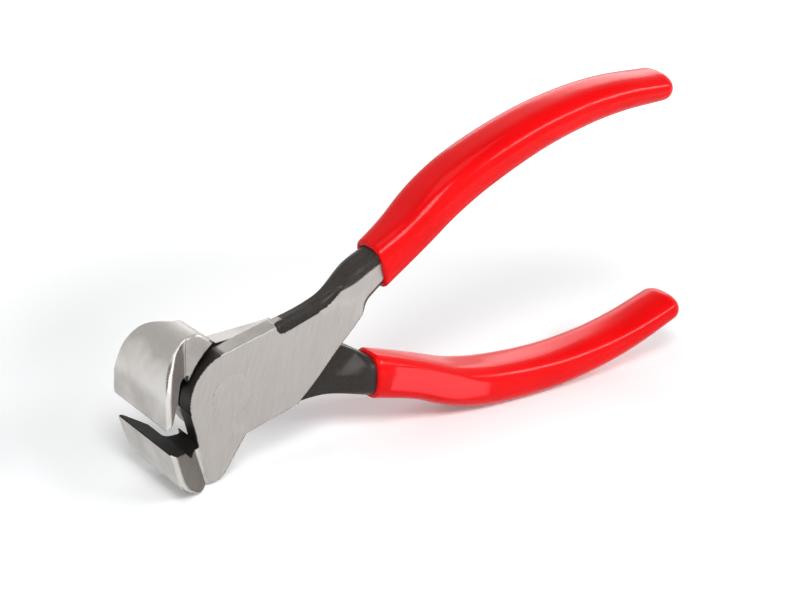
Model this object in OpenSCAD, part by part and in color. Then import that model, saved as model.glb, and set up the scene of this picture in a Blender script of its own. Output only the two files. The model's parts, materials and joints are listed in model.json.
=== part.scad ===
// End cutting nippers, standing on edge with the jaws part open.
// Two forged levers, twins turned back to back, turn on one rivet. Each handle wears a dipped grip.
// A lever is drawn with the jaws shut: x runs from the rivet towards the handles, z goes across the
// tool, and y goes through its thickness, with the front lever's ground face on the -y side.

/* [Jaws] */
// Length of the straight cutting edge
jaw_width = 28; // [22:0.5:34]
// Distance that the front face of the jaws stands before the plates
jaw_length = 11.1; // [9.6:0.1:13]
// Height of one jaw from its edge to its back
jaw_height = 22.1; // [21.5:0.1:25]
// Radius of the curve from a jaw's front to its back
jaw_round = 14; // [12:0.5:15]
// Run of the rounded cheek at each side of a jaw
cheek_round = 2.3; // [0.5:0.1:3]
// Flat left along the cutting edge
edge_land = 0.3; // [0.2:0.05:0.6]
// Gap left between the two cutting edges when they meet
edge_gap = 0.1; // [0.04:0.02:0.2]
// How far the inner bevel runs back from the front face
bevel_run = 5.8; // [4:0.1:7]
// How far the inner bevel falls from the cutting edge
bevel_drop = 5; // [3.5:0.1:6]
// Depth of the throat behind the bevel
throat_depth = 9.4; // [8:0.1:11]
// Length of a jaw's back between the plate's front edge and the slope to the waist
back_length = 4.6; // [3:0.1:6]
// Radius where the jaw's back turns towards the waist
back_round = 5; // [2:0.5:7]

/* [Joint] */
// Thickness of the two plates together
joint_thickness = 10.6; // [9:0.2:13]
// Radius of the round boss of each plate
boss_radius = 13.3; // [12.8:0.1:13.8]
// Distance from the rivet to the back edge of the plates
plate_back = 17.3; // [16:0.1:19]
// Height of a plate's back corner on its handle side
plate_top = 11.9; // [11.4:0.1:12.6]
// Height of a plate's back corner on its jaw side
plate_low = 14.2; // [14:0.1:15]
// Distance of the waist between a jaw and its plate from the rivet, along the tool
waist_offset = 0.7; // [0:0.1:1.5]
// Height of that waist
waist_low = 13.5; // [13.4:0.1:14]
// Distance from the rivet to the front edge of the plates, at the jaw's back
plate_front = 14.3; // [14:0.1:15]
// Radius of the hollow in a neck that clears the other lever's boss
hollow_radius = 23.4; // [22.8:0.1:24]
// Distance from the rivet to that hollow's centre along the tool
hollow_offset = 7.9; // [7.6:0.1:8.1]
// Height of that hollow's centre
hollow_rise = 1.9; // [1.5:0.1:2.2]
// Gap between the two plates
plate_gap = 0.1; // [0.04:0.02:0.2]
// How far the ground faces stand proud of the tangs and jaws that run on from them
face_relief = 0.06; // [0.04:0.01:0.15]

/* [Rivet] */
// Radius of the rivet's shank
rivet_radius = 4; // [3:0.1:5]
// Radius of the rivet's flush heads
rivet_head_radius = 6; // [5.4:0.1:7]
// Depth of the countersinks that hold the heads
rivet_head_depth = 1.8; // [1:0.1:2.4]
// Clearance of the rivet in the rear lever, which turns on it
turning_gap = 0.04; // [0.02:0.01:0.08]
// Clearance of the rivet in the front lever, which grips it
seat_gap = 0.01; // [0.01:0.01:0.02]

/* [Handles] */
// Distance from the rivet to the mouths of the grips
mouth_reach = 54.4; // [52:0.2:58]
// Height of a handle's centre at the mouth of its grip
mouth_height = 10.4; // [10:0.1:11]
// Distance from the rivet to the last centre of the handles
handle_reach = 158.5; // [140:0.5:180]
// Greatest height of a handle's bow
bow_height = 23.4; // [19:0.2:28]
// Height of a handle's centre at its end
end_height = 14.8; // [11:0.1:18]
// Height of a tang's top edge where it leaves the plate
tang_top = 11.1; // [10.7:0.1:11.3]
// Depth of a tang's bottom edge where it leaves the plate
tang_low = 13.4; // [12.8:0.1:13.6]
// How far a tang's rounded shoulder rises above its ground face
tang_crown = 1.9; // [1:0.1:2.4]
// Radius of the broken edges of a tang
edge_break = 0.35; // [0.2:0.05:0.6]

/* [Grips] */
// Width of a grip across the tool at its mouth
grip_width = 12.8; // [12:0.1:14]
// Depth of a grip through the tool at its fullest
grip_depth = 17.1; // [15:0.1:19]
// Thickness of the dipped plastic
grip_wall = 1.4; // [1:0.1:1.8]
// Gap between the plastic and the steel inside it
grip_fit = 0.05; // [0.02:0.01:0.1]
// Length of the rounded end of a grip
cap_length = 4.6; // [3:0.2:8]

/* [Pose] */
// Angle between the levers as the tool stands, 0 with the jaws shut
opening_angle = 16.4; // [0:0.1:40]

/* [Hidden] */
$fn = 96;
steel_color = [0.72, 0.71, 0.69];
rivet_color = [0.80, 0.79, 0.77];
grip_color = [0.86, 0.06, 0.07];
// Shared overrun of every cut
overrun = 1;
// Steps in a rounded corner of an outline, and points in a rounded corner of a section
corner_steps = 6;
corner_points = 5;
// Steps round a boss
boss_steps = 36;
// Number of levels up the curve of a jaw, and of points across its rounded cheek
jaw_levels = 10;
cheek_points = 4;
// Number of sections along a tang, along a grip and in a grip's rounded end
tang_sections = 12;
grip_sections = 26;
cap_sections = 5;
half_joint = joint_thickness / 2;
jaw_reach = plate_front + jaw_length;
half_open = opening_angle / 2;
face_level = plate_gap / 2;
edge_level = edge_gap / 2;
half_jaw = jaw_width / 2;
round_x = jaw_round - jaw_reach;
round_z = jaw_round - jaw_height;
// Share of the jaw's half width that is left where its front starts to curve
jaw_shoulder_share = 0.95;
// Share of its taper that a jaw has made where it comes to the plate
jaw_taper_share = 0.94;
// The last angle up the jaw's curve, where it has come to the plate's front edge
jaw_last_angle = acos((plate_front + round_x) / jaw_round);
// How far a jaw's cheeks run on inside the plates, and a tang's root inside its plate
jaw_sink = half_joint / 3;
root_sink = half_joint / 3;
// Where a plate's front edge runs into its jaw, as a share of its length from the jaw's back
join_share = 0.25;
// Angles up a jaw's curve between which the plate fills it
fill_from_angle = 45;
fill_to_angle = 90;
// Height of a handle's centre line over its run, as shares of the bow above the mouth
bow_shares = [[0, 0], [0.09, 0.24], [0.22, 0.65], [0.35, 0.89], [0.55, 1]];
// The same from the top of the bow to the end, as shares of the fall
fall_shares = [[0.55, 0], [0.72, 0.14], [0.86, 0.47], [1, 1]];
// Width and depth of a grip along its run, as shares of its width at the mouth and its full depth
width_shares = [[0, 1], [0.09, 0.93], [0.17, 0.945], [0.3, 0.98], [0.55, 0.9], [0.8, 0.79], [1, 0.69]];
depth_shares = [[0, 0.78], [0.09, 0.88], [0.17, 0.98], [0.3, 1], [0.55, 0.97], [0.8, 0.93], [1, 0.9]];
// How far a grip's depth draws in round its end, as a share of how far its width does
cap_draw_share = 0.7;
// The last angle round a grip's end, where a small flat closes it
cap_last_angle = 84;
// Roundness of a grip's section, as a share of its half width and half depth
section_round_share = 0.8;
// A tang's top and bottom edges from the plate to the mouth, as shares of their rise
tang_top_shares = [[0, 0], [0.2, 0], [0.37, 0.16], [0.61, 0.45], [0.77, 0.7], [1, 1]];
tang_low_shares = [[0, 0], [0.4, 0.42], [0.76, 0.8], [1, 1]];
// Where a tang starts to thicken towards the other side, as a share of its run
thicken_share = 0.7;
// Depth of a tang's rounded shoulder, as a share of the plate's thickness
shoulder_share = 0.85;

function mix(a, b, t) = a + (b - a) * t;
function clamp01(t) = min(1, max(0, t));
function ease(t) = let (c = clamp01(t)) c * c * (3 - 2 * c);
function turn(p, a) = [p.x * cos(a) - p.y * sin(a), p.x * sin(a) + p.y * cos(a)];
function unit(p) = p / norm(p);

// Index of the stretch of a table that holds x
function stretch(t, x, i = 0) = i >= len(t) - 2 || x <= t[i + 1].x ? i : stretch(t, x, i + 1);
// Slope of a smooth curve at entry i of a table
function slope_at(t, i) =
    let (a = t[max(0, i - 1)], b = t[min(len(t) - 1, i + 1)]) (b.y - a.y) / (b.x - a.x);
// Smooth curve through the entries of a table
function smooth(t, x) =
    let (i = stretch(t, x), w = t[i + 1].x - t[i].x, s = clamp01((x - t[i].x) / w),
         a = t[i].y, b = t[i + 1].y, ma = slope_at(t, i) * w, mb = slope_at(t, i + 1) * w)
    a * (1 + 2 * s) * (1 - s) * (1 - s) + ma * s * (1 - s) * (1 - s)
    + b * s * s * (3 - 2 * s) + mb * s * s * (s - 1);

// Arc that rounds the corner b of the path a, b, c
function round_corner(a, b, c, r) =
    let (p = unit(a - b), q = unit(c - b), half = acos(p * q) / 2, reach = r / tan(half),
         middle = b + unit(p + q) * r / sin(half), from = b + p * reach - middle,
         way = p.x * q.y - p.y * q.x > 0 ? -1 : 1, sweep = 180 - 2 * half)
    [for (i = [0:corner_steps]) middle + turn(from, way * sweep * i / corner_steps)];

// Angle at which a line from p touches the boss, on the side given by way
function boss_tangent_angle(p, way) = atan2(p.y, p.x) + way * acos(boss_radius / norm(p));

// Solid swept through a list of sections, each with as many points
module sweep(rings) {
    m = len(rings[0]);
    n = len(rings);
    sides = [for (i = [0:n - 2], j = [0:m - 1])
        let (k = (j + 1) % m, a = i * m + j, b = i * m + k, c = (i + 1) * m + k, d = (i + 1) * m + j)
        each [[a, c, b], [a, d, c]]];
    polyhedron([for (r = rings) each r],
        concat(sides, [[for (j = [0:m - 1]) j]], [[for (j = [m - 1:-1:0]) (n - 1) * m + j]]));
}

// Layer of a flat outline between two levels, counted towards the front lever's ground face
module layer(low, high) {
    rotate([90, 0, 0]) translate([0, 0, low]) linear_extrude(high - low) children();
}

// Quarter of a section's outline, about a corner
function quarter(cw, cn, rw, rn, start) =
    [for (i = [0:corner_points - 1])
        let (a = start + 90 * i / (corner_points - 1)) [cw + rw * cos(a), cn + rn * sin(a)]];

// Section between a low and a top edge point, from the back level to the front level.
// radii holds [across, through] for the corners top front, low front, low back and top back.
function section(low, top, back, front, radii) =
    let (middle = (low + top) / 2, h = norm(top - low) / 2, up = unit(top - low),
         flat = concat(
             quarter(h - radii[0].x, front - radii[0].y, radii[0].x, radii[0].y, 0),
             quarter(radii[1].x - h, front - radii[1].y, radii[1].x, radii[1].y, 90),
             quarter(radii[2].x - h, back + radii[2].y, radii[2].x, radii[2].y, 180),
             quarter(h - radii[3].x, back + radii[3].y, radii[3].x, radii[3].y, 270)))
    [for (p = flat) let (q = middle + up * p.x) [q.x, -p.y, q.y]];

// A handle's centre line, by share of its run
function handle_x(s) = mix(mouth_reach, handle_reach, s);
function handle_z(s) = s < bow_shares[len(bow_shares) - 1].x
    ? mix(mouth_height, bow_height, smooth(bow_shares, s))
    : mix(bow_height, end_height, smooth(fall_shares, s));
function handle_at(s) = [handle_x(s), handle_z(s)];
// Direction of the centre line, measured over a short stretch of its run
stretch_share = 0.01;
function handle_way(s) =
    unit(handle_at(min(1, s + stretch_share)) - handle_at(max(0, s - stretch_share)));
function handle_normal(s) = let (w = handle_way(s)) [-w.y, w.x];
function grip_half_width(s) = grip_width / 2 * smooth(width_shares, s);
function grip_half_depth(s) = grip_depth / 2 * smooth(depth_shares, s);

// Section of a handle, smaller than the grip's outside by inset, at share s and cap angle a
function handle_section(s, inset, a = 0) =
    let (w = (grip_half_width(s) - inset) * cos(a),
         d = (grip_half_depth(s) - inset) * mix(1, cos(a), cap_draw_share),
         c = handle_at(s) + handle_way(s) * (cap_length - inset) * sin(a),
         up = handle_normal(s), r = [w, d] * section_round_share)
    section(c - up * w, c + up * w, -d, d, [r, r, r, r]);

// All sections of a handle's surface, smaller than the grip's outside by inset
function handle_sections(inset) = concat(
    [for (i = [0:grip_sections]) handle_section(i / grip_sections, inset)],
    [for (i = [1:cap_sections]) handle_section(1, inset, cap_last_angle * i / cap_sections)]);

// Sections of a tang, from inside the plate to the mouth of the grip
function tang_section(t) =
    let (inset = grip_wall + grip_fit,
         w = grip_half_width(0) - inset, d = grip_half_depth(0) - inset, up = handle_normal(0),
         mouth_low = handle_at(0) - up * w, mouth_top = handle_at(0) + up * w,
         low = [mix(plate_back, mouth_low.x, t), mix(-tang_low, mouth_low.y, smooth(tang_low_shares, t))],
         top = [mix(plate_back, mouth_top.x, t), mix(tang_top, mouth_top.y, smooth(tang_top_shares, t))],
         k = ease((t - thicken_share) / (1 - thicken_share)),
         soft = [w, d] * section_round_share, crisp = [edge_break, edge_break],
         shoulder = [tang_crown, (half_joint - face_level) * shoulder_share])
    section(low, top, mix(face_level + face_relief, -d, k), mix(half_joint - face_relief, d, k),
        [mix(shoulder, soft, k), mix(crisp, soft, k), mix(crisp, soft, k), mix(crisp, soft, k)]);
root_section = [for (p = tang_section(0)) [p.x - root_sink, p.y, p.z]];

module handle_steel() {
    sweep(concat([root_section], [for (i = [0:tang_sections - 1]) tang_section(i / tang_sections)],
        handle_sections(grip_wall + grip_fit)));
}

// Half width of a jaw's outer face at an angle up its curve
function jaw_half_at(a) =
    mix(half_jaw * jaw_shoulder_share, half_joint, a / jaw_last_angle * jaw_taper_share);

// Level section of a jaw: its face at x, height z and half width w. It ends inside the plates.
function jaw_section(x, z, w) =
    let (k = cheek_round * (w - half_joint) / (half_jaw - half_joint),
         root = [max(-plate_front, x + k + edge_break), half_joint - face_relief], tip = [x, w + k],
         way = unit(root - tip), end = tip + way * k,
         cheek = [for (i = [0:cheek_points])
             let (t = i / cheek_points, p = mix([x, w], tip, t), q = mix(tip, end, t)) mix(p, q, t)],
         side = concat(cheek, [root + way * jaw_sink]))
    concat([for (p = side) [p.x, p.y, z]], [for (i = [len(side) - 1:-1:0]) [side[i].x, -side[i].y, z]]);

// The broad end of a lever, from the cutting edge round to the back
module jaw_body() {
    sweep(concat(
        [jaw_section(-jaw_reach, -edge_level, half_jaw)],
        [for (i = [0:jaw_levels])
            let (a = jaw_last_angle * i / jaw_levels)
            jaw_section(round_x - jaw_round * cos(a), round_z - jaw_round * sin(a), jaw_half_at(a))]));
}

// Outline of a plate: the boss, its front edge, its jaw's back, the waist and the back edge
waist = [waist_offset, -waist_low];
front_foot = [-plate_front, -jaw_height];
back_foot = front_foot + [back_length, 0];
back_corner_low = [plate_back, -plate_low];
back_corner_top = [plate_back, plate_top];
boss_start = boss_tangent_angle(back_corner_top, 1);
boss_end = boss_tangent_angle(front_foot, -1) + 360;
front_join = mix(front_foot, boss_radius * [cos(boss_end), sin(boss_end)], join_share);
plate_points = concat(
    [for (i = [0:boss_steps])
        let (a = mix(boss_start, boss_end, i / boss_steps)) boss_radius * [cos(a), sin(a)]],
    [front_join],
    [for (i = [0:corner_steps])
        let (a = mix(fill_from_angle, fill_to_angle, i / corner_steps), r = jaw_round - face_relief)
        [round_x - r * cos(a), round_z - r * sin(a)]],
    round_corner(front_foot, back_foot, waist, back_round),
    [waist, back_corner_low, back_corner_top]);

module neck_hollow() {
    translate([hollow_offset, hollow_rise]) circle(hollow_radius);
}

// Space behind a cutting edge: the bevel, the throat's back wall and its floor
bevel_end = [bevel_run - jaw_reach, -bevel_drop];
throat_foot = [bevel_end.x + (throat_depth - bevel_drop) / 2, -throat_depth];
throat_end = [0, -throat_depth];
module throat() {
    polygon(concat(
        [[edge_land - jaw_reach, -edge_level], bevel_end],
        round_corner(bevel_end, throat_foot, throat_end, (throat_depth - bevel_drop) / 3),
        [throat_end, [0, overrun], [edge_land - jaw_reach, overrun]]));
}

// Countersunk hole for the rivet, wider than the rivet by gap
module rivet_hole(gap) {
    rotate([90, 0, 0]) {
        translate([0, 0, -overrun]) cylinder(r = rivet_radius + gap, h = half_joint + 2 * overrun);
        translate([0, 0, half_joint - rivet_head_depth - gap])
            cylinder(r1 = rivet_radius + gap, r2 = rivet_head_radius + gap, h = rivet_head_depth);
        translate([0, 0, half_joint - gap]) cylinder(r = rivet_head_radius + gap, h = overrun);
    }
}

// One forged lever with the jaws shut, in the place of the front lever
module lever(hole_gap) {
    difference() {
        union() {
            difference() {
                jaw_body();
                layer(-jaw_width, jaw_width) throat();
            }
            layer(-half_joint, half_joint) polygon(plate_points);
        }
        layer(-jaw_width, face_level) neck_hollow();
        rivet_hole(hole_gap);
    }
    handle_steel();
}

// Outer profile of a jaw and its plate's back, with the jaws shut
jaw_profile = concat(
    [[-jaw_reach, -edge_level]],
    [for (i = [0:jaw_levels])
        let (a = jaw_last_angle * i / jaw_levels)
        [round_x - jaw_round * cos(a), round_z - jaw_round * sin(a)]],
    round_corner(front_foot, back_foot, waist, back_round));
// Outer edge points of a grip, with the jaws shut
grip_profile = [for (r = handle_sections(0)) for (p = r) [p.x, p.z]];

// Lowest level of an outline that is turned by a degrees, and the outline of the lever's twin
function lowest(points, a) = min([for (p = points) turn(p, a).y]);
function twin(points) = [for (p = points) [p.x, -p.y]];
// How much higher the lower jaw reaches than the lower grip when the tool leans by a degrees
function lean_error(a) = lowest(jaw_profile, half_open + a) - lowest(twin(grip_profile), a - half_open);
steepest_lean = 30;
halvings = 24;
// Lean at which the lower jaw and the lower grip stand on one level, found by halving
function find_lean(low, high, steps) =
    steps == 0 ? (low + high) / 2
    : lean_error((low + high) / 2) > 0 ? find_lean((low + high) / 2, high, steps - 1)
    : find_lean(low, (low + high) / 2, steps - 1);
rest_lean = find_lean(0, steepest_lean, halvings);
stand_height = -lowest(jaw_profile, half_open + rest_lean);
front_ends = concat([for (p = jaw_profile) turn(p, half_open + rest_lean).x],
    [for (p = twin(jaw_profile)) turn(p, rest_lean - half_open).x]);
back_ends = concat([for (p = grip_profile) turn(p, half_open + rest_lean).x],
    [for (p = twin(grip_profile)) turn(p, rest_lean - half_open).x]);
stand_x = -(min(front_ends) + max(back_ends)) / 2;

// Place of the front lever, and of the rear lever, which is turned over
module at_front() {
    translate([stand_x, 0, stand_height]) rotate([0, -rest_lean - half_open, 0]) children();
}
module at_rear() {
    translate([stand_x, 0, stand_height]) rotate([0, half_open - rest_lean, 0]) rotate([180, 0, 0])
        children();
}

module front_lever() {
    color(steel_color) at_front() lever(seat_gap);
}

module rear_lever() {
    color(steel_color) at_rear() lever(turning_gap);
}

// Rivet with a shank and two countersunk heads, ground flush with the plates
module rivet() {
    head_side = [[0, half_joint], [rivet_head_radius, half_joint],
        [rivet_radius, half_joint - rivet_head_depth]];
    color(rivet_color) at_front() rotate([90, 0, 0]) rotate_extrude()
        polygon(concat(head_side, [for (i = [2:-1:0]) [head_side[i].x, -head_side[i].y]]));
}

// Dipped sleeve, open at its mouth and round at its end
module grip() {
    inner = handle_sections(grip_wall);
    outer = handle_sections(0);
    sweep(concat([for (i = [len(inner) - 1:-1:0]) inner[i]], outer));
}

module upper_grip() {
    color(grip_color) at_front() grip();
}

module lower_grip() {
    color(grip_color) at_rear() grip();
}

front_lever();
rear_lever();
rivet();
upper_grip();
lower_grip();
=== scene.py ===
"""End cutting nippers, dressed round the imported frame.

Two twin forgings are built from one rounded solid field, the rivet is turned, and each grip
is a dipped sleeve with a rolled lip. All sizes are in millimetres, in the place of the front
lever with the jaws shut: x runs from the jaws to the handles, n towards the lever's ground
face and z up. The stance then turns each lever to its place in the frame.
"""

import sys

import json
import logging
import math
from dataclasses import dataclass
from enum import Enum

import bpy
import numpy as np
from mathutils import Matrix, Vector


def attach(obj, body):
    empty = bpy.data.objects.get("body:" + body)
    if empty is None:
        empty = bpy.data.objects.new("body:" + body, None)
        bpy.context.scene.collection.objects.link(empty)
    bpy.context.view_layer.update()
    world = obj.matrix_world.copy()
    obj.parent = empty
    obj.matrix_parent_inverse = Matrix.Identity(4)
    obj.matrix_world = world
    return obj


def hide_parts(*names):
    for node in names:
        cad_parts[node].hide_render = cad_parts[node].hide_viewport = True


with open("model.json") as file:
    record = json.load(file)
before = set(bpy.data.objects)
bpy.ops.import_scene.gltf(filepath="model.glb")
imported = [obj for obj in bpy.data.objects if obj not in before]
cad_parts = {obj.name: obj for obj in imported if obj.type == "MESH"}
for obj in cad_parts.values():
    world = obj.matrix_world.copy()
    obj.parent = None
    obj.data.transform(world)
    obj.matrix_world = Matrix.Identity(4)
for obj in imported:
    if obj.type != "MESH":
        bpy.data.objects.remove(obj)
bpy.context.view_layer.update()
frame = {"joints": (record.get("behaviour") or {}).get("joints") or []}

Array = np.ndarray
Material = bpy.types.Material
Socket = bpy.types.NodeSocket
Pair = tuple[float, float]
Triple = tuple[float, float, float]
Colour = Triple
MM = 0.001

# Tones of the steel, from the painted highlight on its strips to the painted shade of the joint:
# the two lowest are painted highlights, the ground tone is the real grinding, and the rest are
# painted shade.
STRIP_HIGHLIGHT, EDGE_HIGHLIGHT, GROUND, UNDERSIDE_SHADE, GROUND_SHADE = 0.1, 0.12, 0.25, 0.36, 0.38
FLANK_SHADE, CRESCENT_SHADE, DEEP_SHADE = 0.62, 0.72, 1.4

# Ground steel, for the levers and for the rivet.
BRIGHT: Colour = (0.475, 0.448, 0.424)
BRIGHT_DARK: Colour = (0.39, 0.367, 0.346)
GRAIN_TILT = -14.0

# How finely surfaces are laid out, and the least fillet.
CELL, SKIN_STEPS, LEAST_SLOPE, SLOPE_STEP = 0.35, 4, 0.25, 0.04
ROUND_STEPS, CREVICE = 12, 0.02
INNER_CAP = np.radians(np.linspace(15, 84, 5))
log = logging.getLogger("nippers")


class Lever(Enum):
    """The two levers, by the name of the body that each is."""

    FRONT = "front"
    REAR = "rear"

    @property
    def side(self) -> int:
        """1 for the front lever and -1 for its twin, which is turned over."""
        return 1 if self is Lever.FRONT else -1


class Slot(Enum):
    """The record's material slots."""

    GROUND_STEEL = "ground_steel"
    RIVET_STEEL = "rivet_steel"
    GRIP_PLASTIC = "grip_plastic"


def mix(a: Array | float, b: Array | float, t: Array | float) -> Array | float:
    """Value between a and b at share t."""
    return a + (b - a) * t


def ease(t: Array | float) -> Array:
    """Smooth step from 0 to 1."""
    c = np.clip(t, 0, 1)
    return c * c * (3 - 2 * c)


def overlap(a: Array, b: Array, r: Array | float) -> Array:
    """Field of what two solids share, with a round of radius r along its edges."""
    return np.minimum(-r, np.maximum(a, b)) + np.hypot(
        np.maximum(r + a, 0), np.maximum(r + b, 0)
    )


def join(a: Array, b: Array, r: Array | float) -> Array:
    """Field of two solids together, with a fillet of radius r between them."""
    return -overlap(-a, -b, r)


def outline_distance(points: Array, x: Array, z: Array) -> Array:
    """Signed distance from a closed outline, negative inside it.

    Args:
        points: the outline's corners, one row of x and z each.
        x: places along the lever.
        z: heights, of a shape that fits x.

    Returns:
        The distance at each place.
    """
    nearest: Array | float = np.inf
    inside: Array | bool = False
    for (ax, az), (bx, bz) in zip(points, np.roll(points, -1, axis=0)):
        ex, ez = bx - ax, bz - az
        length = ex * ex + ez * ez
        if length == 0:
            continue
        t = np.clip(((x - ax) * ex + (z - az) * ez) / length, 0, 1)
        nearest = np.minimum(nearest, (x - ax - ex * t) ** 2 + (z - az - ez * t) ** 2)
        if az != bz:
            inside = inside ^ (((az > z) != (bz > z)) & (x < ax + ex * (z - az) / (bz - az)))
    return np.where(inside, -1, 1) * np.sqrt(nearest)


def arc(centre: Pair, radius: float, start: float, end: float, steps: int) -> Array:
    """Points on an arc.

    Args:
        centre: its centre's x and z.
        radius: its radius.
        start: first angle in degrees.
        end: last angle in degrees.
        steps: number of stretches between them.

    Returns:
        One row of x and z for each point.
    """
    a = np.radians(np.linspace(start, end, steps + 1))
    return np.stack([centre[0] + radius * np.cos(a), centre[1] + radius * np.sin(a)], axis=1)


def rounded(before: Array, corner: Array, after: Array, radius: float) -> Array:
    """Arc that rounds one corner of a path.

    Args:
        before: the point before the corner.
        corner: the corner.
        after: the point after it.
        radius: the arc's radius.

    Returns:
        The arc's points.
    """
    p = (before - corner) / np.linalg.norm(before - corner)
    q = (after - corner) / np.linalg.norm(after - corner)
    half = math.acos(float(p @ q)) / 2
    middle = corner + (p + q) / np.linalg.norm(p + q) * radius / math.sin(half)
    start = corner + p * radius / math.tan(half) - middle
    way = -1 if p[0] * q[1] - p[1] * q[0] > 0 else 1
    turns = way * (math.pi - 2 * half) * np.arange(ROUND_STEPS + 1) / ROUND_STEPS
    cos, sin = np.cos(turns), np.sin(turns)
    return middle + np.stack(
        [start[0] * cos - start[1] * sin, start[0] * sin + start[1] * cos], axis=1
    )


def chain(*parts: Array | list) -> Array:
    """Rows or values of several parts, one part after another."""
    return np.concatenate(parts)


def turns_round(around: int) -> Array:
    """Angles evenly round a section, in radians."""
    return np.linspace(0, 2 * math.pi, around, endpoint=False)


@dataclass(frozen=True)
class Curve:
    """Smooth curve through a table of values."""

    xs: tuple[float, ...]
    ys: tuple[float, ...]

    def at(self, x: Array | float) -> Array:
        """The curve's value at x, held at its ends.

        Args:
            x: where to read the curve.

        Returns:
            Its values there.
        """
        xs, ys = np.array(self.xs), np.array(self.ys)
        before = np.r_[0, np.arange(len(xs) - 1)]
        after = np.r_[np.arange(1, len(xs)), len(xs) - 1]
        slopes = (ys[after] - ys[before]) / (xs[after] - xs[before])
        i = np.clip(np.searchsorted(xs, x) - 1, 0, len(xs) - 2)
        w = xs[i + 1] - xs[i]
        s = np.clip((x - xs[i]) / w, 0, 1)
        return (
            ys[i] * (1 + 2 * s) * (1 - s) ** 2
            + slopes[i] * w * s * (1 - s) ** 2
            + ys[i + 1] * s * s * (3 - 2 * s)
            + slopes[i + 1] * w * s * s * (s - 1)
        )


@dataclass(frozen=True)
class Stance:
    """Where the levers stand in the frame."""

    pivot: Triple
    lean: float = 10.2149
    half_open: float = 8.2

    def place(self, points: Array, lever: Lever) -> Array:
        """Moves rows of x, n and z in millimetres to a lever's place in the frame, in metres."""
        return self.turned(points, lever) * MM + np.array(self.pivot)

    def turned(self, points: Array, lever: Lever) -> Array:
        """Turns points or directions as place does, without moving them.

        Args:
            points: rows of x, n and z.
            lever: which lever they belong to.

        Returns:
            Rows of x, y and z.
        """
        a = math.radians(self.lean + lever.side * self.half_open)
        x, n, z = points[:, 0], points[:, 1] * lever.side, points[:, 2] * lever.side
        return np.stack(
            [x * math.cos(a) - z * math.sin(a), -n, x * math.sin(a) + z * math.cos(a)], axis=1
        )


@dataclass(frozen=True)
class HandleLine:
    """Centre line and thickness of a handle, by share of its run from the mouth."""

    mouth_reach: float = 54.4
    reach: float = 158.5
    half_width: float = 6.4
    half_depth: float = 8.55
    heights: Curve = Curve(
        (-0.1, 0, 0.09, 0.22, 0.35, 0.55, 0.72, 0.86, 1),
        (7.3, 10.4, 13.52, 18.95, 21.97, 23.4, 22.2, 19.36, 14.8),
    )
    widths: Curve = Curve(
        (-0.1, 0, 0.09, 0.17, 0.3, 0.55, 0.8, 1), (1.1, 1.01, 0.935, 0.945, 0.98, 0.9, 0.79, 0.69)
    )
    depths: Curve = Curve(
        (-0.1, 0, 0.09, 0.17, 0.3, 0.55, 0.8, 1), (0.74, 0.78, 0.88, 0.98, 1, 0.97, 0.93, 0.9)
    )
    swell: float = 2.15
    first_share: float = -0.1
    tip_length: float = 4.55
    tip_blunt: float = 0.7
    squares: Curve = Curve((-0.1, 0.1, 0.4, 0.8, 1), (3.0, 3.6, 3.6, 3.0, 2.4))

    @property
    def run(self) -> float:
        """How far the line goes along the lever."""
        return self.reach - self.mouth_reach

    def at(self, s: Array) -> Array:
        """Centre points, one row of x and z for each share."""
        return np.stack([mix(self.mouth_reach, self.reach, s), self.heights.at(s)], axis=-1)

    def way(self, s: Array) -> Array:
        """Directions of the line, of length 1."""
        step = 0.01
        d = self.at(np.minimum(1, s + step)) - self.at(np.maximum(self.first_share, s - step))
        return d / np.linalg.norm(d, axis=-1, keepdims=True)

    def normal(self, s: Array) -> Array:
        """Directions square to the line, away from the other handle."""
        w = self.way(s)
        return np.stack([-w[..., 1], w[..., 0]], axis=-1)

    def width_at(self, s: Array) -> Array:
        """Half the grip's width, across the line in the plane of the levers."""
        return self.half_width * self.widths.at(s)

    def depth_at(self, s: Array) -> Array:
        """Half the grip's depth, along the rivet."""
        return self.half_depth * self.depths.at(s)


@dataclass(frozen=True)
class Sheet:
    """Faces and corners of one piece, with what its finish needs at each corner."""

    corners: Array
    faces: Array
    normals: Array | None = None
    tone: Array | None = None


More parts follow.
